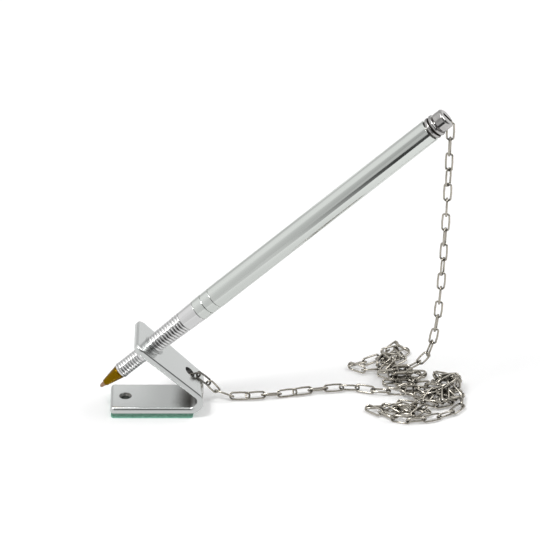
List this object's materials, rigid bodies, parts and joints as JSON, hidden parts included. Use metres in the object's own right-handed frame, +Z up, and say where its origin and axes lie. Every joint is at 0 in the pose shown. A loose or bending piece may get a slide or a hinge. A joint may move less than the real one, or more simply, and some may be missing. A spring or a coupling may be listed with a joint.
{
  "type": "counter pen on a chain with desk holder",
  "caption": "Metal ballpoint pen that rests in a bent steel desk holder with an adhesive pad, tied to it by a fine link chain on a swivel.",
  "frame": {"origin": "centre of the base's screw hole, at the pad's underside on the desk", "axes": "+Z up from the desk; +X along the base towards the bend, with the pen leaning up towards +X; +Y across the strip, towards the back"},
  "size_m": [0.1138, 0.0457, 0.1047],
  "materials": {
    "strip_steel": "bright nickel plate on a bent steel strip, satin on the arm",
    "green_foam": "closed-cell adhesive foam, matt green",
    "green_film": "peel-off film, satin green",
    "pin_steel": "plain plated steel",
    "chain_metal": "nickel-plated wire links",
    "knob_chrome": "polished chrome plate",
    "barrel_metal": "satin chrome plate on a drawn tube",
    "coupler_brass": "turned brass, hidden",
    "grip_chrome": "chrome plate over turned ribs",
    "cone_brass": "aged brass, darker at its base",
    "point_metal": "copper-coloured metal point",
    "ball_steel": "steel ball, thinly inked",
    "refill_plastic": "clouded polypropylene",
    "ink": "black ink"
  },
  "bodies": {
    "holder": {"holder_strip": "strip_steel", "foam_pad": "green_foam", "release_liner": "green_film", "stop_pin": "pin_steel", "chain_lead": "chain_metal", "chain_heap": "chain_metal"},
    "swivel": {"swivel_knob": "knob_chrome", "eye_pin": "pin_steel", "swivel_rivet": "pin_steel", "swivel_washer": "pin_steel", "chain_hanging": "chain_metal"},
    "pen": {"end_plug": "knob_chrome", "barrel": "barrel_metal", "band_front": "barrel_metal", "band_rear": "barrel_metal", "coupler": "coupler_brass", "grip_section": "grip_chrome", "nose_cone": "cone_brass", "ball_housing": "point_metal", "writing_ball": "ball_steel", "refill_tube": "refill_plastic", "ink_column": "ink", "refill_cap": "refill_plastic"}
  },
  "joints": [
    {"name": "pen_draw", "type": "slide", "parent": "holder", "child": "swivel", "axis": [0.742, 0, 0.6704], "range_m": [0, 0.03]},
    {"name": "pen_spin", "type": "hinge", "parent": "swivel", "child": "pen", "pos_m": [0.09615, 0, 0.10099], "axis": [0.742, 0, 0.6704], "continuous": true}
  ]
}
